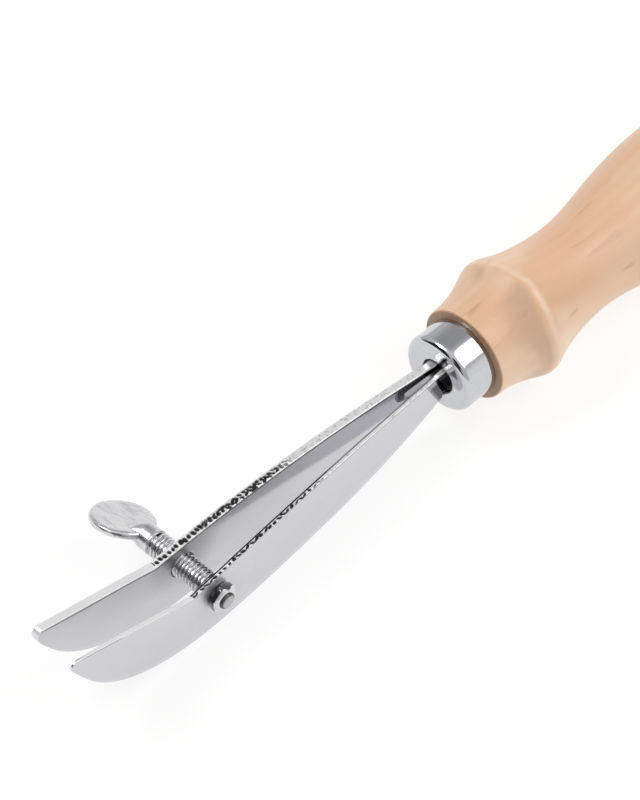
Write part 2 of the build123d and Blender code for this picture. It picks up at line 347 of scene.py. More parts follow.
def wood_material():
    """Pale, close-grained wood with painted shade in the hollow behind its ridge, a painted highlight
    along the ridge, and a dark end face.
    """
    n = Material("birch")
    grain = n.noise((14.0, 150.0, 150.0), 5.0, 0.6, 0.6)
    mottle = n.noise((30.0, 60.0, 60.0), 2.0, 0.5, 0.3)
    pores = n.noise((90.0, 2200.0, 2200.0), 3.0, 0.5)
    streaks = n.noise((75.0, 380.0, 380.0), 2.0, 0.5, 0.4)
    colour = n.mix(n.span(mottle, 0.42, 0.60), (0.83, 0.59, 0.405), (0.765, 0.47, 0.295))
    colour = n.mix(n.span(grain, 0.40, 0.72, 0.0, 0.45), colour, (0.72, 0.445, 0.28))

    # The painted shade band and the painted highlight line keep to the ridge, with a wandering, uneven
    # edge.
    drift = n.math("SUBTRACT", n.noise((60.0, 90.0, 90.0), 3.0), 0.5)
    along = n.math("ADD", n.axis("X"), n.math("MULTIPLY", drift, 0.005))
    shade_band = n.math("MULTIPLY", n.span(along, 0.0748, 0.0698), n.span(along, 0.0672, 0.0682))
    uneven = n.span(n.noise((50.0, 110.0, 110.0), 2.0, turn=(0.4, 0.0, 0.0)), 0.42, 0.56)
    shade_band = n.math("MULTIPLY", n.math("MULTIPLY", shade_band, uneven), 0.75)
    colour = n.mix(shade_band, colour, (0.585, 0.375, 0.245))
    # Painted highlight: a pale line along the crest of the ridge.
    highlight_line = n.math("MULTIPLY", n.span(along, 0.0671, 0.0665), n.span(along, 0.0650, 0.0660))
    colour = n.mix(n.math("MULTIPLY", highlight_line, 0.5), colour, (0.90, 0.70, 0.53))

    # The heart of the tree lies outside the handle.
    waver = n.math("MULTIPLY", n.noise((18.0, 22.0, 22.0), 2.0), 0.006)
    from_heart = n.math("ADD", n.reach("Y", -0.021, "Z", 0.006), waver)
    rings = n.span(n.math("SINE", n.math("MULTIPLY", from_heart, 2600.0)), -1.0, 1.0)
    colour = n.mix(n.math("MULTIPLY", rings, 0.12), colour, (0.62, 0.37, 0.21))
    colour = n.mix(n.span(streaks, 0.67, 0.80, 0.0, 0.5), colour, (0.45, 0.26, 0.15))
    colour = n.mix(n.span(pores, 0.62, 0.75, 0.0, 0.14), colour, (0.40, 0.22, 0.12))

    end_noise = n.noise((300.0, 900.0, 900.0), 3.0)
    end_rings = n.math("SINE", n.math("MULTIPLY", from_heart, 5200.0))
    end_colour = n.mix(end_noise, (0.40, 0.235, 0.135), (0.30, 0.165, 0.09))
    end_colour = n.mix(n.span(end_rings, -1.0, 1.0, 0.0, 0.25), end_colour, (0.24, 0.13, 0.07))
    at_end = n.span(n.axis("X"), 0.07860, 0.07895)
    n.set(
        Base_Color=n.mix(at_end, colour, end_colour),
        Roughness=n.span(grain, 0.3, 0.7, 0.34, 0.44),
        Coat_Weight=0.25,
        Coat_Roughness=0.28,
        Normal=n.bump(pores, 0.10, 0.0001, n.bump(grain, 0.10, 0.0004)),
    )
    return n.material


def chrome_material():
    """Bright plating with the slow waves of a drawn cup."""
    n = Material("drawn_chrome", metallic=1.0)
    wave = n.noise((110.0, 110.0, 110.0), 1.0)
    haze = n.noise((700.0, 700.0, 700.0), 4.0)
    lines = n.noise((9000.0, 200.0, 200.0), 3.0)
    n.set(
        Base_Color=n.mix(haze, (0.615, 0.62, 0.645), (0.55, 0.555, 0.58)),
        Roughness=n.span(haze, 0.3, 0.7, 0.07, 0.12),
        Normal=n.bump(lines, 0.006, 0.00002, n.bump(wave, 0.30, 0.0012)),
    )
    return n.material


def blade_material():
    """Polished steel that reads how worked each vertex is and how much painted shade it has."""
    n = Material("polished_blade")
    cloud = n.noise((45.0, 45.0, 70.0), 2.0)
    brushed = n.noise((140.0, 3800.0, 3800.0), 4.0)
    spots = n.noise((1500.0, 1500.0, 1500.0), 3.0, 0.6)
    edge = n.attribute("worked")
    bright = n.mix(cloud, (0.655, 0.65, 0.675), (0.60, 0.595, 0.62))
    bright = n.mix(n.span(brushed, 0.45, 0.8, 0.0, 0.22), bright, (0.52, 0.52, 0.55))
    # Painted shade on the far blade's inner face, darker under its top edge.
    bright = n.mix(n.attribute("inner_shade"), bright, (0.36, 0.355, 0.375))
    bright = n.mix(edge, bright, (0.82, 0.82, 0.815))
    arm_only = n.span(n.axis("X"), 0.1535, 0.1515)
    stain = n.math("MULTIPLY", edge, n.span(spots, 0.54, 0.66, 0.0, 0.4))
    stain = n.math("MULTIPLY", arm_only, stain)
    # Painted shade from the vertices, joined with the real stains on the worked edge.
    dark = n.math("MAXIMUM", n.attribute("painted_shade"), stain)
    from_screw = n.reach("X", SCREW_X * MM, "Z", SCREW_Z * MM)
    fretted = n.span(from_screw, 0.0125, 0.0020, 0.0, 0.36, interpolation="SMOOTHERSTEP")
    face_rough = n.math("ADD", n.span(cloud, 0.3, 0.7, 0.06, 0.11), fretted)
    n.set(
        Base_Color=n.mix(dark, bright, (0.012, 0.012, 0.012)),
        Metallic=n.span(edge, 0.0, 1.0, 1.0, 0.45),
        Roughness=n.math("ADD", face_rough, n.math("MULTIPLY", edge, 0.30)),
        Normal=n.bump(cloud, 0.06, 0.0008, n.bump(brushed, 0.05, 0.00005)),
    )
    return n.material


def fastener_material(name, wave_scale, wave_depth, roughness):
    """Plated steel, more or less hammered, that reads the painted shade on each vertex."""
    n = Material(name, metallic=1.0)
    hammer = n.noise((wave_scale, wave_scale * 0.5, wave_scale), 2.0, 0.5, 0.6)
    fine = n.noise((1500.0, 420.0, 1500.0), 3.0)
    streak = n.noise((700.0, 190.0, 500.0), 2.0, 0.5, 1.2, turn=(0.0, 0.0, 0.6))
    colour = n.mix(n.span(streak, 0.48, 0.64), (0.69, 0.69, 0.70), (0.56, 0.56, 0.58))
    colour = n.mix(n.span(fine, 0.62, 0.8, 0.0, 0.25), colour, (0.45, 0.45, 0.46))
    n.set(
        # Darkened by the painted shade stored on the vertices.
        Base_Color=n.mix(n.attribute("painted_shade"), colour, (0.02, 0.02, 0.02)),
        Roughness=n.span(fine, 0.3, 0.7, roughness, roughness + 0.1),
        Normal=n.bump(fine, 0.02, 0.00004, n.bump(hammer, 0.5, wave_depth)),
    )
    return n.material


def patchy_material(name, scale, detail, tones, metallic, roughness, relief, shadow=None):
    """A plain, slightly patchy finish, with a painted shadow near black between the two places along X
    of the shadow.
    """
    n = Material(name, metallic)
    patches = n.noise(scale, detail)
    colour = n.mix(patches, *tones)
    if shadow:
        # Painted shadow where the ferrule's mouth shades the piece.
        colour = n.mix(n.span(n.axis("X"), *shadow), colour, (0.02, 0.02, 0.02))
    n.set(
        Base_Color=colour,
        Roughness=n.span(patches, 0.3, 0.7, *roughness),
        Normal=n.bump(patches, relief, 0.0001),
    )
    return n.material


def floor_material():
    n = Material("pale_floor")
    speck = n.noise((30.0, 30.0, 30.0), 3.0)
    n.set(
        Base_Color=n.mix(speck, (0.23, 0.23, 0.229), (0.21, 0.21, 0.209)),
        Roughness=0.9,
        Specular_IOR_Level=0.1,
        Emission_Color=(1.0, 1.0, 0.995, 1.0),
        Emission_Strength=0.80,
    )
    return n.material


# ---------------------------------------------------------------- the handle

WAIST = (49.0, 9.4)
RIDGE_X = 66.4
RIDGE_RADIUS = 12.5
RIDGE_ROUND = 3.0
RIDGE_LEAN = 22.0
COLLAR_FRONT_X = 79.0
TENON_RADIUS = 7.3
RECESS_RADIUS = 3.9


def handle_profile():
    """Radius along the handle, butt first, with the end-grain face at the ferrule."""
    points = [(0.0, 0.0), (0.0, 4.2)]
    points += bezier((0.0, 4.5), (0.6, 10.5), (8.0, 13.0), (17.0, 13.0), 28)
    points += bezier((17.0, 13.0), (33.5, 13.0), (40.0, 9.4), WAIST, 40)
    lean = math.radians(RIDGE_LEAN)
    slope = math.tan(lean)
    reach = RIDGE_ROUND * math.sin(lean)
    foot = RIDGE_RADIUS - RIDGE_ROUND * (1 - math.cos(lean))
    back, front = (RIDGE_X - reach, foot), (RIDGE_X + reach, foot)
    before = (back[0] - 4.5, foot - 4.5 * slope)
    after = (front[0] + 3.0, foot - 3.0 * slope)
    points += bezier(WAIST, (55.0, 9.4), before, back, 28)
    ridge_centre = (RIDGE_X, RIDGE_RADIUS - RIDGE_ROUND)
    points += arc(ridge_centre, RIDGE_ROUND, 90 + RIDGE_LEAN, 90 - RIDGE_LEAN, 12)[:-1]
    points += bezier(front, after, (73.5, 9.6), (COLLAR_FRONT_X, 9.6), 24)[:-3]
    points += arc((78.45, 9.05), 0.55, 90, 0, 8)
    points += [(COLLAR_FRONT_X, 8.4), (COLLAR_FRONT_X, TENON_RADIUS), (85.0, TENON_RADIUS)]
    points += [(85.0, 3.95), (81.0, RECESS_RADIUS), (81.0, 0.0)]
    return points


handle = lathe("turned_handle", handle_profile(), 192, sharp_angle=50.0)
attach(handle, "grip")
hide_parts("handle")
handle.data.materials.append(wood_material())
mouth_tones = ((0.66, 0.66, 0.67), (0.46, 0.46, 0.47))
handle.data.materials.append(
    patchy_material("mouth_shadow", (500.0, 500.0, 500.0), 4.0, mouth_tones, 0.0, (0.5, 0.7), 0.3)
)
for face in handle.data.polygons:
    x, y, z = face.center / MM
    if x > COLLAR_FRONT_X + 0.5 and math.hypot(y, z) < RECESS_RADIUS + 0.2:
        face.material_index = 1


# ---------------------------------------------------------------- the ferrule


def ferrule_profile():
    """The drawn cup: rear lip, wall, rounded front edge, slightly dished face and mouth."""
    points = [(79.0, 7.32), (79.0, 7.85)]
    points += arc((79.15, 7.85), 0.15, 180, 90, 4)
    points += [(80.0, 8.0), (82.0, 7.985), (84.2, 7.98)]
    points += arc((84.7, 6.7), 1.3, 86, 4, 12)
    points += [(85.99, 6.2), (85.93, 5.6), (85.9, 5.2), (85.92, 4.6)]
    points += arc((85.65, 3.9), 0.35, 20, -80, 8)
    points += [(85.1, 3.57), (85.1, 7.32)]
    return points


ferrule = lathe("drawn_ferrule", ferrule_profile(), 160, sharp_angle=55.0, close=True)
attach(ferrule, "grip")
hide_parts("ferrule")
ferrule.data.materials.append(chrome_material())


# ---------------------------------------------------------------- the blades

# Nose of each blade: centre x and z, half length, half height, and where it leaves the belly.
NOSES = {NEAR: (178.95, 8.03, 1.3, 1.3, 180.0), FAR: (178.3, 7.19, 1.25, 1.6, 179.3)}
# Height of each top edge at this place along its nose.
NOSE_TOP_X = 179.2
NOSE_TOPS = {NEAR: 9.45, FAR: 9.05}
# Three points of the bowed top edge, from the shoulder to the kink.
ARM_BOW = ((SHOULDER_X, 2.17), (119.0, 3.1), (KINK_X, KINK_TOP))
# The worked marks run back from here.
MARKS_START_X = KINK_X - 0.3
# Upper and lower heights of the roots, in the ferrule's mouth.
ROOT_TOP = 2.2
ROOT_BOTTOMS = {NEAR: -3.0, FAR: -2.3}
# Where the far blade's belly is fuller, and by how much.
FULL_START_X, FULL_LENGTH, FULLNESS = 128.0, 46.0, 1.4

# Markers for the faces of a cross-section. From 0 to 1 is the share of the top edge.
INNER_FACE, OUTER_FACE = -1.0, 2.0
# Heights of the points up a face, as shares of its height and then as depths below the rim.
SIDE_ROWS = (0.0, 0.12, 0.24, 0.36, 0.48, 0.60, 0.72, 0.84, 0.93)
RIM_ROWS = (0.34, 0.24, 0.20, 0.06, 0.0)
TOP_POINTS = 15

plan = interpolate(BLADE_STATIONS)


def arm_top(x, side):
    """The bowed top edge, an arc through three points, then the straight rise to the nose."""
    if x <= KINK_X:
        (x1, z1), (x2, z2), (x3, z3) = ARM_BOW
        turn = 2 * (x1 * (z2 - z3) + x2 * (z3 - z1) + x3 * (z1 - z2))
        s1, s2, s3 = x1**2 + z1**2, x2**2 + z2**2, x3**2 + z3**2
        cx = (s1 * (z2 - z3) + s2 * (z3 - z1) + s3 * (z1 - z2)) / turn
        cz = (s1 * (x3 - x2) + s2 * (x1 - x3) + s3 * (x2 - x1)) / turn
        radius = math.hypot(x1 - cx, z1 - cz)
        return cz + math.sqrt(radius**2 - (x - cx) ** 2)
    return KINK_TOP + (x - KINK_X) * (NOSE_TOPS[side] - KINK_TOP) / (NOSE_TOP_X - KINK_X)


def belly_curve():
    """Points on the lower edge from the shoulder to the nose, evenly fine."""
    lengths = [0.0]
    for a, b in zip(BLADE_BELLY, BLADE_BELLY[1:]):
        lengths.append(lengths[-1] + math.dist(a, b))
    fx = interpolate([(s, p[0]) for s, p in zip(lengths, BLADE_BELLY)])
    fz = interpolate([(s, p[1]) for s, p in zip(lengths, BLADE_BELLY)])
    count = 400
    return [(fx(lengths[-1] * i / count), fz(lengths[-1] * i / count)) for i in range(count + 1)]


BELLY_POINTS = belly_curve()


def belly(x):
    """Height of the lower edge at x."""
    points = BELLY_POINTS
    for (xa, za), (xb, zb) in zip(points, points[1:]):
        if xa <= x <= xb:
            return za + (zb - za) * (x - xa) / max(xb - xa, 1e-9)
    return points[-1][1] + 1.6 * (x - points[-1][0])


def edge_heights(x, side):
    """(lower, upper) height of a blade at x, with its nose rounded off."""
    if x < SHOULDER_X:
        return ROOT_BOTTOMS[side], ROOT_TOP
    top, bottom = arm_top(x, side), belly(x)
    if side == FAR and FULL_START_X < x < FULL_START_X + FULL_LENGTH:
        bottom -= FULLNESS * math.sin(math.pi * (x - FULL_START_X) / FULL_LENGTH) ** 2
    nose_x, nose_z, half_length, half_height, leaves_x = NOSES[side]
    half = half_height * math.sqrt(max(1 - ((x - nose_x) / half_length) ** 2, 1e-6))
    if x > nose_x - 0.35:
        top = min(top, nose_z + half)
    if x > leaves_x:
        bottom = max(bottom, nose_z - half)
    return bottom, top


def column_places(side):
    """Where the cross-sections stand: close together along the marks and round the nose."""
    places = [BLADE_START_X, 84.5, SHOULDER_X - 0.01, SHOULDER_X + 0.01]
    places += [86.6 + i * 0.3 for i in range(12)]
    places += [90.5 + i for i in range(10)]
    places += [100.0 + i * 0.1 for i in range(526)]
    places += [153.2 + i * 0.9 for i in range(27)]
    nose_x, _, half_length, _, _ = NOSES[side]
    places += [nose_x + half_length * math.sin(math.radians(a)) for a in range(-6, 90, 4)]
    places += [nose_x + half_length - 0.002]
    return sorted(places)


def pit_chain(x, share, pitch, seed, centre_share, half_across, half_along, lean_deg):
    """Depth from 0 to 1 of a row of small, uneven pits along the edge."""
    deepest = 0.0
    nearest = math.floor(x / pitch)
    for k in (nearest - 1, nearest, nearest + 1):
        centre = (k + 0.5 + 0.35 * (hashed(k + seed) - 0.5)) * pitch
        lean = math.tan(math.radians(lean_deg * 2 * (hashed(k * 3 + seed + 5) - 0.5)))
        across = share - centre_share - 0.16 * (hashed(k * 7 + seed + 2) - 0.5)
        along = x - centre - lean * across * 1.6
        size = 0.8 + 0.4 * hashed(k * 5 + seed + 9)
        off_across = abs(across) / (half_across * size)
        off_along = abs(along) / (half_along * size)
        deepest = max(deepest, min(1.0, 1.6 * (1 - off_across**2.6 - off_along**2.6)))
    return deepest


def far_marks(x, share):
    """Worked edge of the far blade: neat pits by the kink that turn into crossed cuts."""
    from_kink = MARKS_START_X - x
    if not 0.0 <= from_kink <= 34.0:
        return 0.0
    wild = unit((from_kink - 9.0) / 6.0)
    fade = min(1.0, (34.0 - from_kink) / 7.0)
    neat = pit_chain(x, share, 0.95, 3, 0.48, 0.42, 0.42, 14.0)
    crossed = pit_chain(x, share, 1.05, 21, 0.26, 0.30, 0.44, 42.0)
    crossed = max(crossed, pit_chain(x, share, 0.87, 55, 0.70, 0.27, 0.38, 42.0))
    return fade * (neat * (1 - wild) + crossed * wild)


def near_marks(x, share):
    """Worked edge of the near blade: small pits on its outer half."""
    from_kink = MARKS_START_X - x
    if not 0.0 <= from_kink <= 38.0:
        return 0.0
    fade = min(1.0, (38.0 - from_kink) / 12.0)
    small = 0.55 + 0.45 * fade
    return fade * pit_chain(x, share, 1.15, 40, 0.76, 0.42 * small, 0.46 * small, 40.0)


def dark_lines(side, height_below, share, x):
    """How dark the painted shade lines are that run along the top corners of a blade, painted dark
    reflections along the corners.
    """
    if x > 178.0 or x < 88.0:
        return 0.0
    if side == FAR:
        if 0.26 < height_below < 0.46 and share < 0.0:
            return 0.85 if x < KINK_X else 0.6
        return 0.0
    on_arm = x < KINK_X
    if -0.5 < share < 0.31:
        return min(1.0, max(0.7, 1 - (118.0 - x) / 10.0)) if on_arm else 0.0
    if share == OUTER_FACE and 0.1 < height_below < 0.3:
        if on_arm:
            return 0.45
        return 0.55 if 169.0 < x < 177.0 else 0.0
    return 0.0


def root_shade(side, share, x, z):
    """A painted patch of shade on the near blade's outer face where it enters the ferrule: the
    ferrule's dark reflection.
    """
    if side == FAR or share != OUTER_FACE:
        return 0.0
    ahead = unit((89.4 - 0.5 * (0.2 - z) - x) / 0.35 + 0.5)
    below = unit((0.75 - z) / 0.3 + 0.5)
    return 0.80 * ahead * below


def edge_finish(side, x):
    """How pale and matt the top edge is. The near tip is nearly as polished as its face."""
    if side == NEAR and x > 177.0:
        return max(0.45, 1 - (x - 177.0) / 2.0)
    return 1.0


def inner_painted_shade(side, share, x, depth):
    """The painted shade on the far blade's inner face, strongest under its top edge."""
    if side == NEAR or share != INNER_FACE:
        return 0.0
    along = unit((x - 112.0) / 20.0) * (1 - 0.5 * unit((x - 160.0) / 18.0))
    return along * max(0.0, 0.75 - depth / 12.0)


def cross_section(thickness, bottom, top, rim):
    """Loop of (offset across, height, face marker) round a blade, from the inner face's foot."""
    foot = min(0.14, rim)
    height = top - bottom - rim - foot
    if height > 1.0:
        rows = [bottom + foot + (height - 0.5) * t for t in SIDE_ROWS]
        rows += [top - rim - depth for depth in RIM_ROWS]
    else:
        count = len(SIDE_ROWS) + len(RIM_ROWS)
        rows = [bottom + foot + height * i / (count - 1) for i in range(count)]
    loop = [(0.0, z, INNER_FACE) for z in rows]
    loop.append((rim * 0.3, top - rim * 0.3, -0.2))
    for i in range(TOP_POINTS):
        share = i / (TOP_POINTS - 1)
        loop.append((rim + (thickness - 2 * rim) * share, top, share))
    loop.append((thickness - rim * 0.3, top - rim * 0.3, 1.2))
    loop += [(thickness, z, OUTER_FACE) for z in reversed(rows)]
    loop.append((thickness - foot * 0.3, bottom + foot * 0.3, OUTER_FACE))
    for i in range(3):
        loop.append((thickness - foot - (thickness - 2 * foot) * i / 2, bottom, OUTER_FACE))
    loop.append((foot * 0.3, bottom + foot * 0.3, INNER_FACE))
    return loop


def inner_face(x):
    """Distance of a blade's inner face from the middle of the gap."""
    if x < SHOULDER_X:
        return 0.62 + 0.04 * (x - BLADE_START_X) / (SHOULDER_X - BLADE_START_X)
    return plan(x)


def make_blade(name, thickness, side, marks, rim_size, pit_depth):
    """A sprung blade as a closed skin, with a worked top edge."""
    verts, rings = [], []
    looks = {"painted_shade": [], "worked": [], "inner_shade": []}
    for x in column_places(side):
        bottom, top = edge_heights(x, side)
        rim = min(rim_size, (top - bottom) * 0.12)
        ground = 0.5 * thickness * unit((x - 166.0) / 13.5) ** 1.5 if side == NEAR else 0.0
        inner = inner_face(x) + ground
        points = []
        for across, height, share in cross_section(thickness - ground, bottom, top, rim):
            on_edge = -0.5 < share < 1.5
            mark = marks(x, share) if on_edge else 0.0
            line = dark_lines(side, top - height, share, x)
            shade = root_shade(side, share, x, height)
            points.append((x, side * (inner + across), height - pit_depth * mark))
            # Painted shade: the dark corner lines, the pits darkened by their depth, and the patch at
            # the root.
            looks["painted_shade"].append(min(1.0, max(line, 1.5 * mark, shade)))
            looks["worked"].append(edge_finish(side, x) if on_edge else 0.0)
            looks["inner_shade"].append(inner_painted_shade(side, share, x, top - height))
        rings.append(add_ring(verts, points))
    faces = bridge(rings) + [rings[0], rings[-1][::-1]]
    obj = make_object(name, verts, faces, BLADE_SHARP_ANGLE)
    for label, values in looks.items():
        paint(obj, label, values)
    fix_normals(obj, merge=False)
    obj.data.set_sharp_from_angle(angle=math.radians(BLADE_SHARP_ANGLE))
    return obj


def drill(obj, radius, y_start, y_end):
    """Cuts the screw's hole through a blade."""
    profile = [(y_start, 0.0), (y_start, radius), (y_end, radius), (y_end, 0.0)]
    cutter = lathe("drill", profile, 48, along="Y")
    cut = obj.modifiers.new("hole", "BOOLEAN")
    cut.operation = "DIFFERENCE"
    cut.solver = "EXACT"
    cut.object = cutter
    bpy.context.view_layer.objects.active = obj
    bpy.context.view_layer.update()
    evaluated = obj.evaluated_get(bpy.context.evaluated_depsgraph_get())
    mesh = bpy.data.meshes.new_from_object(evaluated)
    obj.modifiers.remove(cut)
    obj.data = mesh
    mesh.set_sharp_from_angle(angle=math.radians(BLADE_SHARP_ANGLE))
    bpy.data.objects.remove(cutter)


DRILL_REACH = 9.0

blade_steel = blade_material()
for name, node, body, thickness, side, marks, rim, pit_depth, radius in (
    ("far_blade_skin", "far_blade", "far_arm", FAR_THICKNESS, FAR, far_marks, 0.24, 0.34, 2.75),
    ("near_blade_skin", "near_blade", "near_arm", NEAR_THICKNESS, NEAR, near_marks, 0.14, 0.26, 1.6),
):
    blade = make_blade(name, thickness, side, marks, rim, pit_depth)
    drill(blade, radius, min(0, side * DRILL_REACH), max(0, side * DRILL_REACH))
    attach(blade, body)
    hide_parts(node)
    blade.data.materials.clear()
    blade.data.materials.append(blade_steel)


# ---------------------------------------------------------------- the thumb screw

THREAD_START_Y = -10.65
THREAD_END_Y = 2.95
THREAD_PITCH = 0.8
THREAD_STEPS = 48
THREAD_RUN_OUT = 0.4
CREST_RADIUS = 2.5
ROOT_RADIUS = 2.16
# One turn of the thread from root to root, as (share of the pitch, radius).
THREAD_SECTION = (
    (-0.5, ROOT_RADIUS),
    (-0.42, 2.18),
    (-0.29, 2.42),
    (-0.20, CREST_RADIUS),
    (0.20, CREST_RADIUS),
    (0.29, 2.42),
    (0.42, 2.18),
)
COLLAR_LENGTH = 0.6
NECK_LENGTH = 2.05
NECK_BASE_Y = THREAD_START_Y - COLLAR_LENGTH - NECK_LENGTH
PADDLE_TILT = 25.0
PADDLE_BEND = 9.0
PADDLE_RISE = 0.46
PADDLE_RADIUS = 6.2
# Upper half of the paddle's edge, from its middle out, as (radius, height).
PADDLE_PROFILE = [
    (0.0, 0.66),
    (1.2, 0.66),
    (2.4, 0.67),
    (3.5, 0.69),
    (4.5, 0.72),
    (5.2, 0.745),
    (5.7, 0.72),
    (5.98, 0.62),
    (6.14, 0.42),
    (6.2, 0.18),
]
# The ring, the worn neck and the flattening end, as (y, half width, half height, share of the bend).
NECK_RING = [
    (0.05, 1.9, 1.9, 0.0),
    (0.03, 2.3, 2.3, 0.0),
    (-0.04, 2.5, 2.5, 0.0),
    (-0.12, 2.56, 2.56, 0.0),
    (-0.40, 2.56, 2.56, 0.0),
    (-0.50, 2.50, 2.50, 0.0),
]
NECK_END = [
    (-2.9, 2.48, 2.38, 0.15),
    (-3.3, 2.50, 2.20, 0.35),
    (-3.7, 2.52, 1.90, 0.65),
    (-4.1, 2.50, 1.50, 1.0),
    (-4.8, 2.30, 0.95, 1.0),
    (-5.4, 1.6, 0.4, 1.0),
]
NUT_APOTHEM = 2.62
NUT_TURN = 19.5
# The nut from its back to its front, as (y, largest radius, how much painted shade).
NUT_STATIONS = [
    (5.20, 1.55, 0.0),
    (5.20, 2.50, 0.5),
    (5.48, 2.80, 0.8),
    (5.60, 2.90, 0.85),
    (6.45, 2.90, 0.85),
    (6.52, 2.84, 0.7),
    (6.60, 2.76, 0.0),
    (6.92, 2.36, 0.0),
    (7.00, 2.22, 0.0),
    (7.02, 1.50, 0.0),
]


def make_thread(name):
    """A right-hand helical thread, run out at both ends."""
    turns = (THREAD_END_Y - THREAD_START_Y) / THREAD_PITCH
    verts, rings = [], []
    for i in range(int((turns + 1) * THREAD_STEPS) + 1):
        a = 2 * math.pi * i / THREAD_STEPS
        wear = 0.035 * math.sin(3.1 * a + 0.7) * math.sin(0.37 * a)
        points = []
        for along, radius in THREAD_SECTION:
            y = THREAD_START_Y + (i / THREAD_STEPS + along) * THREAD_PITCH
            run_in = unit((y - THREAD_START_Y) / THREAD_RUN_OUT)
            run_out = unit((THREAD_END_Y - y) / THREAD_RUN_OUT)
            height = (radius - ROOT_RADIUS) * min(run_in, run_out) * (1 + wear * 3)
            r = min(ROOT_RADIUS + height + wear, CREST_RADIUS)
            y = min(max(y, THREAD_START_Y), THREAD_END_Y)
            points.append((SCREW_X + r * math.sin(a), y, SCREW_Z + r * math.cos(a)))
        rings.append(add_ring(verts, points))
    faces = []
    for i, (a, b) in enumerate(zip(rings, rings[1:])):
        for k in range(len(THREAD_SECTION) - 1):
            faces.append([a[k], a[k + 1], b[k + 1], b[k]])
        if i + THREAD_STEPS < len(rings) - 1:
            next_a, next_b = rings[i + THREAD_STEPS], rings[i + THREAD_STEPS + 1]
            faces.append([a[-1], next_a[0], next_b[0], b[-1]])
    # Painted shade in the grooves of the thread, darker the deeper the point.
    depths = [2.30 - math.hypot(x - SCREW_X, z - SCREW_Z) for x, _, z in verts]
    return make_solid(name, verts, faces, 60.0, [min(0.35, max(0.0, depth) * 3.0) for depth in depths])


def paddle_place():
    """Where the paddle and the bent end of its neck stand: raised, tilted and bent as one."""
    tilt = Matrix.Rotation(math.radians(-PADDLE_TILT), 4, "Y")
    bend = Matrix.Rotation(math.radians(PADDLE_BEND), 4, "X")
    return Matrix.Translation((SCREW_X, NECK_BASE_Y, SCREW_Z + PADDLE_RISE)) @ tilt @ bend


def make_paddle(name):
    """The hammered round thumb piece."""
    place = paddle_place()
    verts, rings = [], []
    lower_half = [(radius, -height) for radius, height in reversed(PADDLE_PROFILE)]
    for radius, height in PADDLE_PROFILE + lower_half:
        points = []
        for a in angles(96) if radius > 0 else [0.0]:
            wobble = 1 + 0.012 * math.sin(2 * a + 0.6) + 0.008 * math.sin(3 * a + 2.0)
            reach = min(radius * wobble, PADDLE_RADIUS + 0.02)
            up, across = reach * math.cos(a), reach * math.sin(a)
            sag = 0.05 * math.sin(1.1 * up + 0.7) * math.cos(0.9 * across)
            point = (across, COLLAR_LENGTH - PADDLE_RADIUS + up, height + sag * min(1, radius / 2))
            points.append(tuple(place @ Vector(point)))
        rings.append(add_ring(verts, points))
    return make_solid(name, verts, bridge(rings), 50.0)


def make_neck(name):
    """The forged neck: a ring at the thread that flattens into the paddle."""
    place = paddle_place()
    straight = Vector((SCREW_X, NECK_BASE_Y, SCREW_Z))
    worn = []
    for i in range(18):
        radius = 2.46 + 0.014 * math.cos(2 * math.pi * i / 6)
        worn.append((-0.6 - 0.12 * i, radius, radius, 0.0))
    verts, rings = [], []
    for along, half_x, half_z, bent in NECK_RING + worn + NECK_END:
        points = []
        for a in angles(64):
            y = along + COLLAR_LENGTH + NECK_LENGTH
            local = Vector((half_x * math.sin(a), y, half_z * math.cos(a)))
            points.append(tuple((straight + local).lerp(place @ local, bent)))
        rings.append(add_ring(verts, points))
    return make_solid(name, verts, bridge(rings) + [rings[0], rings[-1][::-1]], 40.0)


def make_nut(name):
    """The small six-sided nut, its corners turned off and painted shade on its flanks."""
    verts, rings, dark = [], [], []
    for y, limit, tone in NUT_STATIONS:
        points = []
        for a in angles(180):
            from_flat = (math.degrees(a) - NUT_TURN) % 60.0 - 30.0
            radius = min(limit, NUT_APOTHEM / math.cos(math.radians(from_flat)))
            points.append((SCREW_X + radius * math.cos(a), y, SCREW_Z + radius * math.sin(a)))
            # Painted shade on the flanks, light all round and strongest on the side toward +X and up.
            dark.append(tone * (0.15 + 0.85 * max(0.0, math.cos(a - math.radians(38.0))) ** 0.6))
        rings.append(add_ring(verts, points))
    return make_solid(name, verts, bridge(rings + rings[:1]), 30.0, dark)


def make_stem(name):
    """The turned-down stem through the nut, with its peened, slightly dished end; painted shade
    darkens it, most on the flank.
    """
    profile = [(2.6, 0.0), (2.6, 1.5), (7.0, 1.5), (7.0, 1.62), (7.08, 1.65), (7.26, 1.65)]
    profile += [(7.4, 1.58), (7.52, 1.42), (7.58, 1.2), (7.6, 0.9), (7.58, 0.45), (7.57, 0.0)]
    obj = lathe(name, profile, 64, along="Y")
    tones = []
    for vertex in obj.data.vertices:
        radius = math.hypot(vertex.co.x / MM - SCREW_X, vertex.co.z / MM - SCREW_Z)
        # Painted shade: dark on the flank, lighter on the end.
        tones.append(0.85 if radius > 1.38 else 0.35)
    paint(obj, "painted_shade", tones)
    return obj


screw_steel = fastener_material("plated_screw", 520.0, 0.00022, 0.13)
forged = fastener_material("forged_neck", 300.0, 0.0002, 0.24)
hammered = fastener_material("hammered_paddle", 260.0, 0.0006, 0.22)
nut_steel = fastener_material("plated_nut", 300.0, 0.00005, 0.08)
peened = fastener_material("peened_end", 300.0, 0.00003, 0.24)

thread = make_thread("screw_thread")
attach(thread, "screw")
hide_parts("thumb_screw")
thread.data.materials.append(screw_steel)

for piece, finish in (
    (make_paddle("screw_paddle"), hammered),
    (make_neck("screw_neck"), forged),
    (make_nut("screw_nut"), nut_steel),
    (make_stem("screw_stem"), peened),
):
    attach(piece, "screw")
    piece.data.materials.append(finish)
    if piece.name == "screw_nut":
        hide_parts("retaining_nut")


# ---------------------------------------------------------------- carried-over CAD nodes


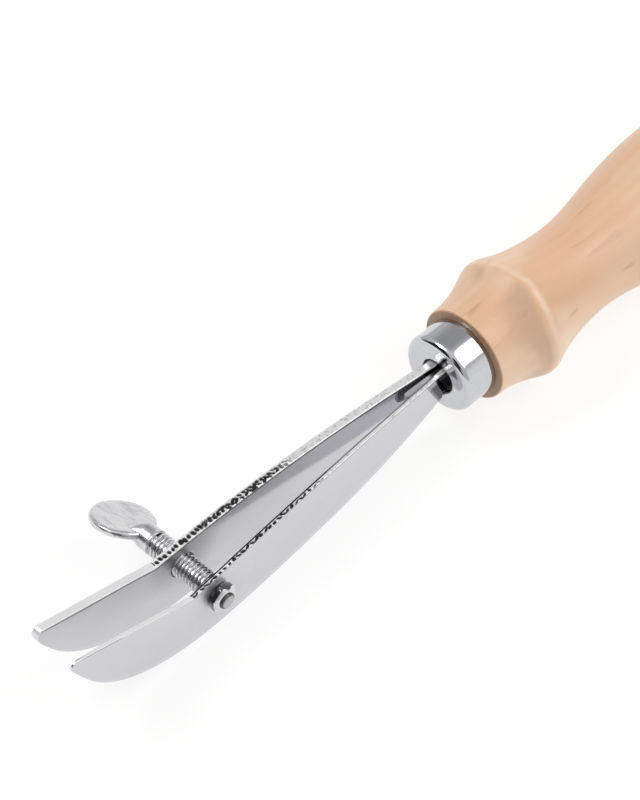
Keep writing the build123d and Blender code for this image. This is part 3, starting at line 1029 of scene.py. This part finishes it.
def dress(node, material):
    """Gives a CAD node its finish, leaving its mesh as it is, and returns it."""
    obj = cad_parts[node]
    obj.data.materials.clear()
    obj.data.materials.append(material)
    return obj


edge = dress("thrust_washer", nut_steel).modifiers.new("soft_edges", "BEVEL")
edge.width = 0.04 * MM
edge.segments = 2
edge.limit_method = "ANGLE"
edge.angle_limit = math.radians(28.0)

tang_tones = ((0.52, 0.52, 0.53), (0.34, 0.34, 0.35))
tang_steel = patchy_material(
    "dull_tang", (400.0, 400.0, 400.0), 4.0, tang_tones, 1.0, (0.18, 0.34), 0.1
)
for node in ("far_tang", "near_tang"):
    dress(node, tang_steel)


# ---------------------------------------------------------------- the spacer

# Half width of the spacer at each x.
SPACER_ROWS = [
    (46.0, 0.62),
    (81.9, 0.62),
    (82.0, 0.38),
    (86.0, 0.40),
    (90.0, 0.49),
    (93.3, 0.58),
    (93.9, 0.55),
    (94.2, 0.44),
    (94.3, 0.3),
]
SPACER_BOTTOM = -2.2
SPACER_TOP = 1.55
SPACER_EASE = 0.10


def make_spacer(name):
    """The packing piece between the blade roots, with a rounded nose and eased top corners."""
    bottom, top = SPACER_BOTTOM, SPACER_TOP
    verts, rings = [], []
    for x, half in SPACER_ROWS:
        corner = min(SPACER_EASE, half * 0.4)
        loop = [(-half, bottom), (-half, top - corner), (corner - half, top)]
        loop += [(half - corner, top), (half, top - corner), (half, bottom)]
        rings.append(add_ring(verts, [(x, y, z) for y, z in loop]))
    return make_solid(name, verts, bridge(rings) + [rings[0], rings[-1]], 35.0)


spacer = make_spacer("blade_spacer")
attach(spacer, "grip")
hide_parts("root_spacer")
spacer_tones = ((0.56, 0.56, 0.57), (0.44, 0.44, 0.45))
spacer.data.materials.append(
    patchy_material(
        "satin_spacer", (160.0, 500.0, 500.0), 3.0, spacer_tones, 0.5, (0.30, 0.42), 0.1,
        shadow=(0.0892, 0.0876),
    )
)


# ---------------------------------------------------------------- floor, light and camera

FLOOR_HALF_SIZE = 3.0
FLOOR_DROP = 0.00005
LIGHT_DISTANCE = 0.9
ROOM_WHITE = (1.0, 1.0, 0.995)
# Grey of the room's walls by height, from the bottom to the top.
ROOM_RAMP = [(0.0, 0.66), (0.15, 0.62), (0.45, 0.66), (0.75, 0.78), (1.0, 0.85)]
# Screens and panels in the room: direction, inner and outer angle of the soft edge, grey.
ROOM_PATCHES = (
    ((-0.45, -0.45, 0.77), 10.0, 38.0, 0.43),
    ((-0.81, -0.58, 0.05), 8.0, 24.0, 0.98),
    ((0.60, -0.80, 0.05), 8.0, 20.0, 0.12),
    ((0.82, -0.45, 0.36), 20.0, 30.0, 0.015),
    ((0.93, 0.37, 0.08), 12.0, 24.0, 0.02),
    ((0.69, 0.45, 0.57), 12.0, 22.0, 0.04),
    ((-0.84, 0.45, 0.32), 12.0, 22.0, 0.06),
    ((-0.40, 0.90, 0.10), 8.0, 22.0, 1.0),
)
CAMERA_AZIMUTH = 44.765
CAMERA_ELEVATION = 50.527
CAMERA_ROLL = -0.23
CAMERA_DISTANCE = 0.62921
CAMERA_LENS = 155.98
# How far right of and above the middle of the view the ferrule's face sits.
FERRULE_IN_VIEW = (0.0212317, 0.0043357)


def make_floor():
    low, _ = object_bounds()
    size = FLOOR_HALF_SIZE
    z = low.z - FLOOR_DROP
    corners = [(-size, -size, z), (size, -size, z), (size, size, z), (-size, size, z)]
    mesh = bpy.data.meshes.new("floor")
    mesh.from_pydata(corners, [], [(0, 1, 2, 3)])
    mesh.materials.append(floor_material())
    floor = bpy.data.objects.new("floor", mesh)
    bpy.context.scene.collection.objects.link(floor)


def make_light(name, direction, size, watts, target):
    """A rectangular light that faces the target from this direction."""
    data = bpy.data.lights.new(name, "AREA")
    data.shape = "RECTANGLE"
    data.size, data.size_y = size
    data.energy = watts
    light = bpy.data.objects.new(name, data)
    toward = Vector(direction).normalized()
    light.location = target + toward * LIGHT_DISTANCE
    light.rotation_mode = "QUATERNION"
    light.rotation_quaternion = toward.to_track_quat("Z", "Y")
    bpy.context.scene.collection.objects.link(light)


def make_world():
    """A pale room with darker screens and panels, so that polished metal has something to mirror."""
    world = bpy.data.worlds.new("studio")
    bpy.context.scene.world = world
    world.use_nodes = True
    room = Tree(world.node_tree)
    toward = (room.add("ShaderNodeTexCoord"), "Generated")
    split = room.add("ShaderNodeSeparateXYZ")
    room.put(toward, split, 0)
    ramp = room.add("ShaderNodeValToRGB")
    room.put((split, "Z"), ramp, "Fac")
    elements = ramp.color_ramp.elements
    while len(elements) < len(ROOM_RAMP):
        elements.new(0.5)
    for element, (place, grey) in zip(elements, ROOM_RAMP):
        element.position = place
        element.color = (grey, grey, grey * 1.01, 1.0)
    colour = (ramp, "Color")
    for direction, inner, outer, grey in ROOM_PATCHES:
        dot = room.add("ShaderNodeVectorMath", operation="DOT_PRODUCT")
        room.put(toward, dot, 0)
        room.put(Vector(direction).normalized(), dot, 1)
        low, high = math.cos(math.radians(outer)), math.cos(math.radians(inner))
        patch = room.span((dot, "Value"), low, high, interpolation="SMOOTHSTEP")
        colour = room.mix(patch, colour, (grey, grey, grey))

    # The camera sees plain white behind the tool, and everything else sees the room.
    walls = room.add("ShaderNodeBackground")
    room.put(colour, walls, "Color")
    plain = room.add("ShaderNodeBackground")
    room.put((*ROOM_WHITE, 1.0), plain, "Color")
    choose = room.add("ShaderNodeMixShader")
    room.put((room.add("ShaderNodeLightPath"), "Is Camera Ray"), choose, "Fac")
    room.put((walls, 0), choose, 1)
    room.put((plain, 0), choose, 2)
    room.put((choose, 0), room.add("ShaderNodeOutputWorld"), "Surface")


def make_camera():
    """The photograph's viewpoint, given by where the ferrule's face sits in the view."""
    azimuth, elevation = math.radians(CAMERA_AZIMUTH), math.radians(CAMERA_ELEVATION)
    roll = math.radians(CAMERA_ROLL)
    flat = math.cos(elevation)
    back = Vector((flat * math.cos(azimuth), flat * math.sin(azimuth), math.sin(elevation)))
    level = Vector((-math.sin(azimuth), math.cos(azimuth), 0.0))
    upright = back.cross(level)
    right = math.cos(roll) * level + math.sin(roll) * upright
    up = math.cos(roll) * upright - math.sin(roll) * level
    data = bpy.data.cameras.new("camera")
    data.lens = CAMERA_LENS
    data.sensor_width = 36.0
    data.clip_start = 0.01
    data.clip_end = 20.0
    camera = bpy.data.objects.new("camera", data)
    across, above = FERRULE_IN_VIEW
    aim = Vector((FERRULE_FRONT_X * MM, 0.0, 0.0)) - across * right - above * up
    turn = Matrix((right, up, back)).transposed().to_4x4()
    camera.matrix_world = Matrix.Translation(aim + back * CAMERA_DISTANCE) @ turn
    bpy.context.scene.collection.objects.link(camera)
    bpy.context.scene.camera = camera


make_floor()
make_world()
tool_middle = (cad_low + cad_high) / 2
make_light("key", (-0.48, 0.48, 0.74), (0.56, 0.56), 2.2, tool_middle)
make_light("strip", (0.40, -0.45, 0.80), (0.38, 0.40), 2.8, tool_middle)
make_camera()
bpy.context.scene.view_settings.view_transform = "Standard"
